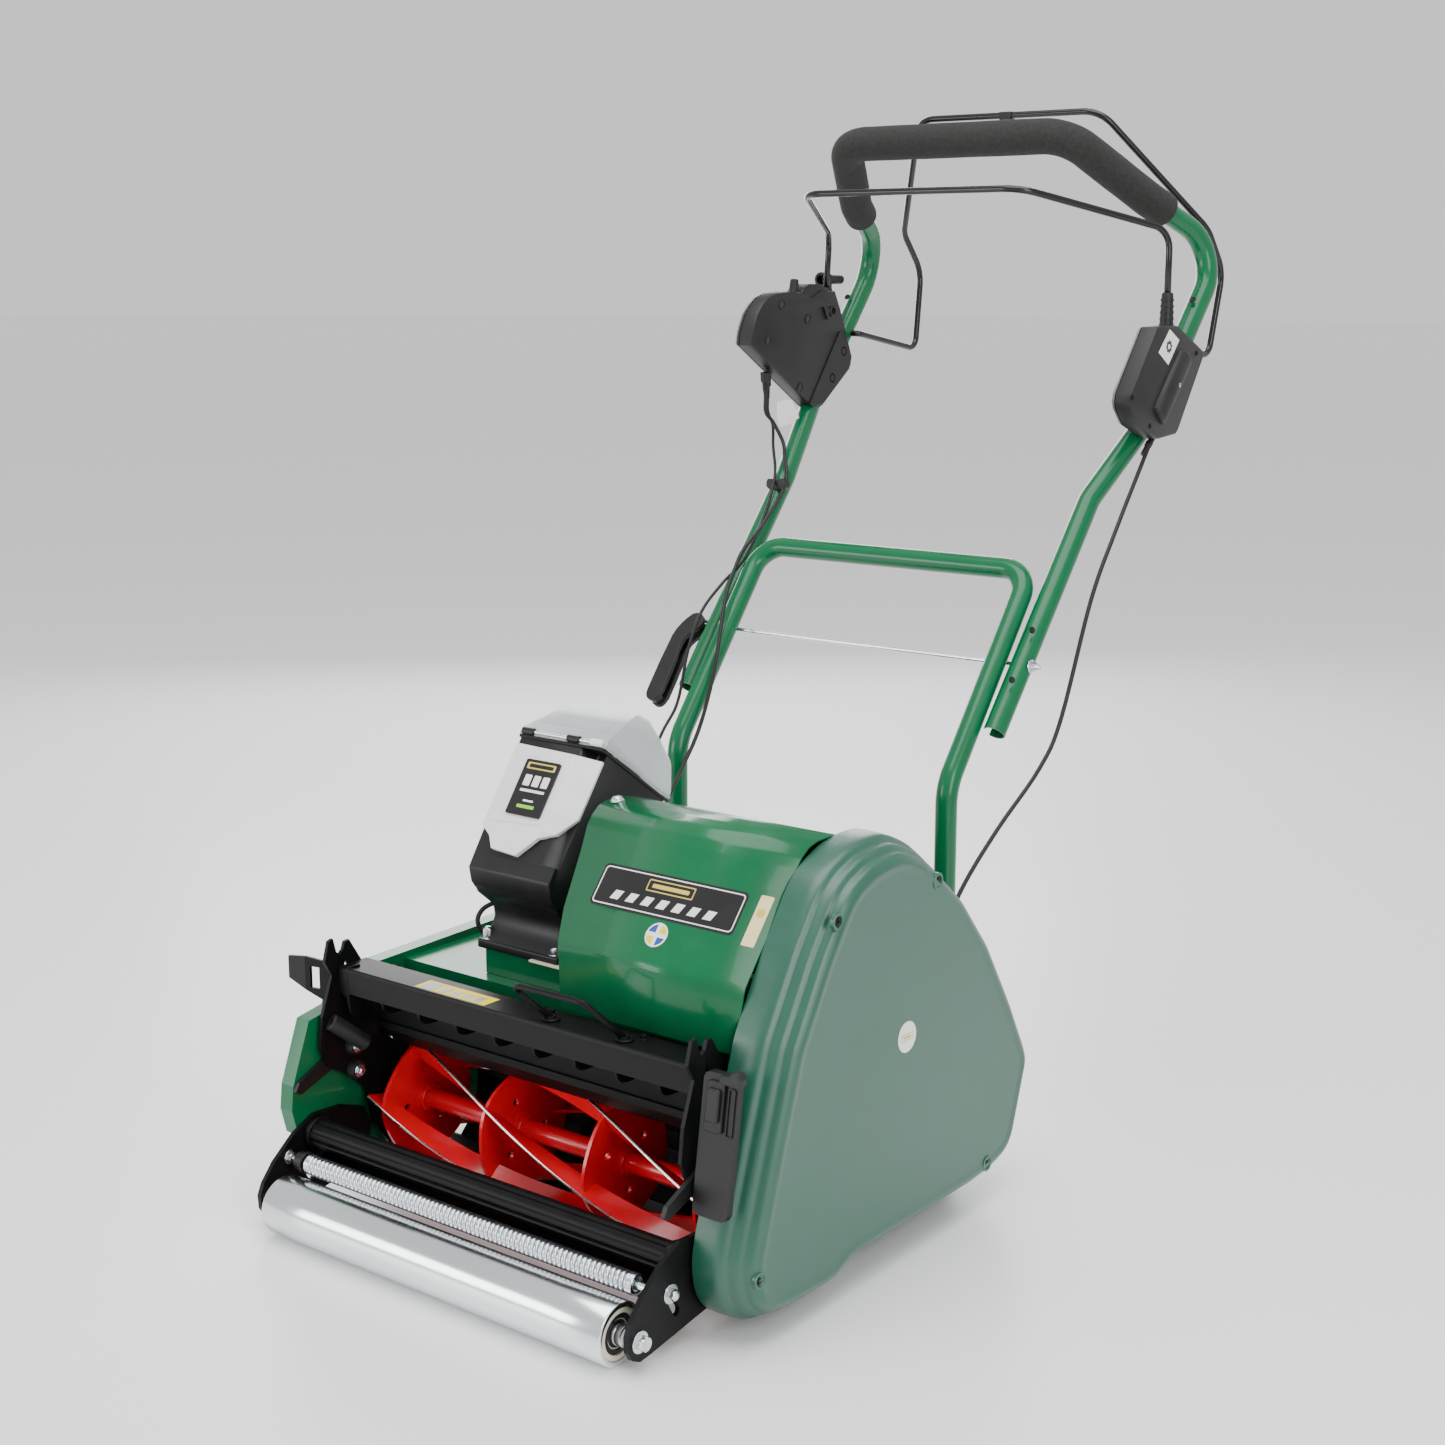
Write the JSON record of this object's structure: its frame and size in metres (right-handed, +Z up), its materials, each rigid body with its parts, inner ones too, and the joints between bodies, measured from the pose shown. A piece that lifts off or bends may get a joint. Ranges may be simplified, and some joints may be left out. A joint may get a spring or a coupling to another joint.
{
  "type": "cordless cylinder lawn mower",
  "caption": "Self-propelled cylinder mower with a removable reel cassette, front and rear rollers, battery housing, belt-drive cover and folding U handle with two control bails.",
  "frame": {"origin": "ground line under the middle of the front roller, in the mirror plane of the handle", "axes": "+X towards the drive cover, +Y to the rear where the handle is, +Z up"},
  "size_m": [0.6092, 1.1756, 1.1415],
  "materials": {
    "green_steel": "deep green gloss powder coat",
    "green_plastic": "deep green moulded cover, fine texture",
    "black_steel": "black satin paint",
    "black_plastic": "black textured moulding",
    "red_steel": "bright red paint",
    "zinc": "bright zinc plate",
    "steel": "plain machined steel",
    "belt_rubber": "black rubber",
    "roller_rubber": "black rubber drum facing",
    "foam": "black closed-cell foam",
    "silver_plastic": "silver grey moulding",
    "clear_lid": "hazy clear polycarbonate",
    "cable": "black cable jacket"
  },
  "bodies": {
    "chassis": {"side_plate_left": "green_steel", "side_plate_right": "green_steel", "deck_plate": "green_steel", "bonnet": "green_steel", "drive_cover": "green_plastic", "rear_cross_tube": "green_steel", "motor": "black_steel", "cutter_belt": "belt_rubber", "roller_belt": "belt_rubber", "rear_axle": "steel", "battery_plinth": "green_steel", "battery_housing": "black_plastic", "battery_panel": "silver_plastic", "lower_handle": "green_steel", "drive_cable": "cable", "power_cable": "cable", "switch_cable": "cable"},
    "cassette": {"cassette_plate_left": "black_steel", "cassette_plate_right": "black_steel", "cassette_beam": "black_steel", "cassette_shield": "black_steel", "bed_knife": "steel", "bed_bar": "black_steel", "latch_cover": "black_plastic", "catch_flap": "black_steel", "carry_handle": "black_steel"},
    "reel": {"reel_core": "red_steel", "reel_blade_1": "red_steel", "reel_blade_2": "red_steel", "reel_blade_3": "red_steel", "reel_blade_4": "red_steel", "reel_blade_5": "red_steel"},
    "lock_catch_left": {"lock_lever_left": "black_plastic"},
    "lock_catch_right": {"lock_lever_right": "black_plastic"},
    "reel_adjuster_left": {"adjuster_left": "zinc"},
    "reel_adjuster_right": {"adjuster_right": "zinc"},
    "motor_wheel": {"motor_pulley": "steel"},
    "reel_wheel": {"reel_pulley": "steel"},
    "roller_wheel": {"roller_pulley": "steel"},
    "traction_roller_left": {"rear_roller_left": "roller_rubber"},
    "traction_roller_right": {"rear_roller_right": "roller_rubber"},
    "height_frame": {"front_bracket_left": "black_steel", "front_bracket_right": "black_steel", "front_cross_bar": "black_steel", "front_guard_plate": "black_steel", "scraper_rod": "zinc", "scraper_spring": "zinc", "front_axle": "zinc"},
    "front_roll": {"front_roller": "zinc"},
    "pack": {"battery_pack": "black_plastic"},
    "lid": {"battery_lid": "clear_lid"},
    "handle": {"upper_handle": "green_steel", "foam_grip": "foam", "switch_box_left": "black_plastic", "switch_box_right": "black_plastic", "cross_rod": "zinc"},
    "clamp_lever": {"cam_lever": "black_plastic"},
    "start_button": {"lock_off_button": "black_plastic"},
    "start_bail": {"presence_bail": "black_steel"},
    "drive_lever": {"drive_bail": "black_steel"}
  },
  "joints": [
    {"name": "cassette_slide", "type": "slide", "parent": "chassis", "child": "cassette", "axis": [0, -1, 0], "range_m": [0, 0.03]},
    {"name": "reel_spin", "type": "hinge", "parent": "cassette", "child": "reel", "pos_m": [0, 0.189, 0.09], "axis": [1, 0, 0], "continuous": true},
    {"name": "lock_catch_left_turn", "type": "hinge", "parent": "cassette", "child": "lock_catch_left", "pos_m": [-0.243, 0.113, 0.163], "axis": [-1, 0, 0], "range_deg": [0, 50]},
    {"name": "lock_catch_right_turn", "type": "hinge", "parent": "cassette", "child": "lock_catch_right", "pos_m": [0.243, 0.113, 0.163], "axis": [-1, 0, 0], "range_deg": [0, 50]},
    {"name": "reel_adjuster_left_turn", "type": "hinge", "parent": "cassette", "child": "reel_adjuster_left", "pos_m": [-0.224, 0.159, 0.17], "axis": [0, 0, 1], "continuous": true},
    {"name": "reel_adjuster_right_turn", "type": "hinge", "parent": "cassette", "child": "reel_adjuster_right", "pos_m": [0.224, 0.159, 0.17], "axis": [0, 0, 1], "continuous": true},
    {"name": "motor_wheel_spin", "type": "hinge", "parent": "chassis", "child": "motor_wheel", "pos_m": [0.265, 0.339, 0.3], "axis": [1, 0, 0], "continuous": true},
    {"name": "reel_wheel_spin", "type": "hinge", "parent": "chassis", "child": "reel_wheel", "pos_m": [0.26, 0.189, 0.09], "axis": [1, 0, 0], "continuous": true},
    {"name": "roller_wheel_spin", "type": "hinge", "parent": "chassis", "child": "roller_wheel", "pos_m": [0.275, 0.489, 0.08], "axis": [1, 0, 0], "continuous": true},
    {"name": "traction_roller_left_spin", "type": "hinge", "parent": "chassis", "child": "traction_roller_left", "pos_m": [-0.1145, 0.489, 0.08], "axis": [1, 0, 0], "continuous": true},
    {"name": "traction_roller_right_spin", "type": "hinge", "parent": "chassis", "child": "traction_roller_right", "pos_m": [0.1145, 0.489, 0.08], "axis": [1, 0, 0], "continuous": true},
    {"name": "cutting_height_swing", "type": "hinge", "parent": "chassis", "child": "height_frame", "pos_m": [0, 0.116, 0.069], "axis": [1, 0, 0], "range_deg": [-5, 6]},
    {"name": "front_roll_spin", "type": "hinge", "parent": "height_frame", "child": "front_roll", "pos_m": [0, 0, 0.03], "axis": [1, 0, 0], "continuous": true},
    {"name": "lid_open", "type": "hinge", "parent": "chassis", "child": "lid", "pos_m": [-0.094, 0.28609, 0.48165], "axis": [1, 0, 0], "range_deg": [0, 110]},
    {"name": "pack_lift", "type": "slide", "parent": "chassis", "child": "pack", "axis": [0, 0.5807, 0.8141], "range_m": [0, 0.025]},
    {"name": "handle_fold", "type": "hinge", "parent": "chassis", "child": "handle", "pos_m": [0, 0.694, 0.533], "axis": [1, 0, 0], "range_deg": [0, 110], "deforming": ["drive_cable", "power_cable", "switch_cable"]},
    {"name": "clamp_lever_swing", "type": "hinge", "parent": "handle", "child": "clamp_lever", "pos_m": [-0.2372, 0.694, 0.533], "axis": [0, 0.7723, -0.6353], "range_deg": [0, 95]},
    {"name": "start_button_press", "type": "slide", "parent": "handle", "child": "start_button", "axis": [0, -1, 0], "range_m": [0, 0.004], "stiffness_N_per_m": 800, "springref_m": -0.001},
    {"name": "start_bail_pull", "type": "hinge", "parent": "handle", "child": "start_bail", "pos_m": [0, 0.957, 0.924], "axis": [1, 0, 0], "range_deg": [-20, 0], "stiffness_Nm_per_rad": 0.5, "springref_deg": 51.57},
    {"name": "drive_lever_pull", "type": "hinge", "parent": "handle", "child": "drive_lever", "pos_m": [0, 0.993, 0.876], "axis": [1, 0, 0], "range_deg": [0, 8], "stiffness_Nm_per_rad": 0.5, "springref_deg": -34.38}
  ],
  "couplings": [
    {"joint": "reel_wheel_spin", "follows": "reel_spin", "ratio": 1},
    {"joint": "motor_wheel_spin", "follows": "reel_spin", "ratio": 1.7647},
    {"joint": "roller_wheel_spin", "follows": "reel_spin", "ratio": 0.78947}
  ]
}
